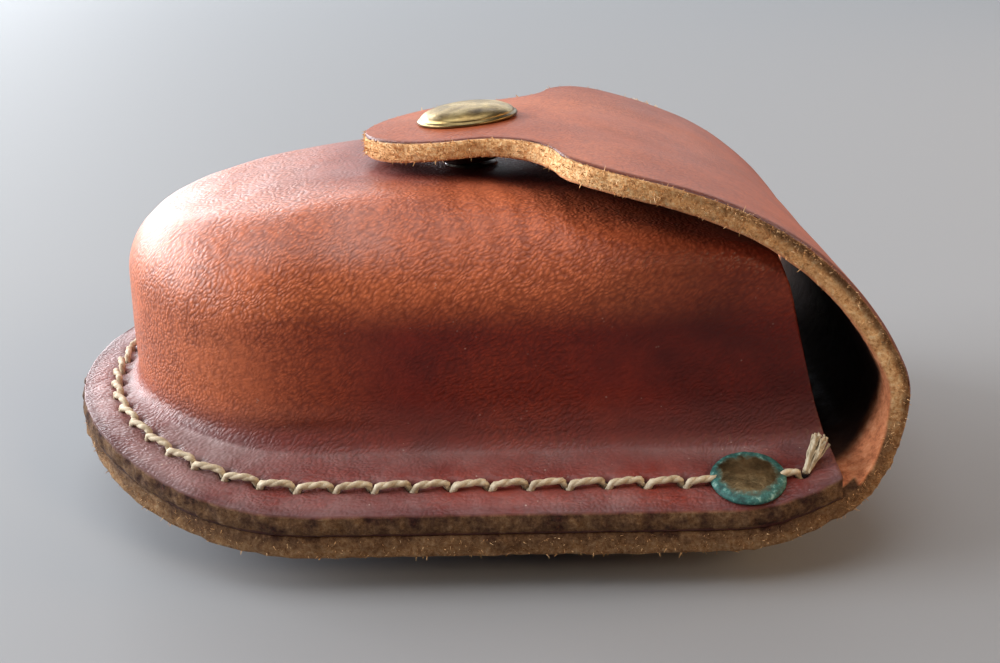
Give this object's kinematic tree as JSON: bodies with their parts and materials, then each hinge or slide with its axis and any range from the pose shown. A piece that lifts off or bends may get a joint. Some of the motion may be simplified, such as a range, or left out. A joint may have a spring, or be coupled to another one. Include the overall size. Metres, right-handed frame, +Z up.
{
  "type": "belt pouch",
  "caption": "Wet-moulded leather belt pouch with a stitched flange, a snap flap folding over its side mouth, corner rivets and a belt loop behind.",
  "frame": {"origin": "on the belt loop's outer face, under the middle of the case's bounding box", "axes": "+Z up through the moulded box to the flap, +X from the round end towards the mouth and the flap's bend, +Y across the case along the belt"},
  "size_m": [0.099, 0.0786, 0.0463],
  "materials": {
    "moulded_leather": "glossy, pebbled, dark chestnut",
    "flap_leather": "glossy, orange-tan",
    "back_leather": "satin, chestnut",
    "thread": "waxed twisted linen",
    "antique_brass": "worn antique brass",
    "aged_rivet": "brass with green patina",
    "nickel": "dull nickel",
    "spring_steel": "wire"
  },
  "bodies": {
    "case": {"front_shell": "moulded_leather", "back_panel": "back_leather", "seam_thread": "thread", "thread_tail": "thread", "corner_rivet_cap_near": "aged_rivet", "corner_rivet_post_near": "aged_rivet", "corner_rivet_cap_far": "aged_rivet", "corner_rivet_post_far": "aged_rivet", "snap_stud": "nickel", "snap_stud_post": "antique_brass", "belt_loop": "back_leather", "belt_loop_thread": "thread", "belt_rivet_cap_near": "aged_rivet", "belt_rivet_post_near": "aged_rivet", "belt_rivet_cap_far": "aged_rivet", "belt_rivet_post_far": "aged_rivet"},
    "flap": {"flap_panel": "flap_leather"},
    "tongue": {"flap_tongue": "flap_leather", "snap_cap": "antique_brass", "snap_socket": "nickel", "snap_spring": "spring_steel"}
  },
  "joints": [
    {"name": "flap_hinge", "type": "hinge", "parent": "case", "child": "flap", "pos_m": [0.0495, 0, 0.0175], "axis": [0, 1, 0], "range_deg": [0, 120], "stiffness_Nm_per_rad": 0.02},
    {"name": "tongue_lift", "type": "hinge", "parent": "flap", "child": "tongue", "pos_m": [0.021, 0, 0.04259], "axis": [0, 1, 0], "range_deg": [0, 25], "stiffness_Nm_per_rad": 0.02}
  ]
}
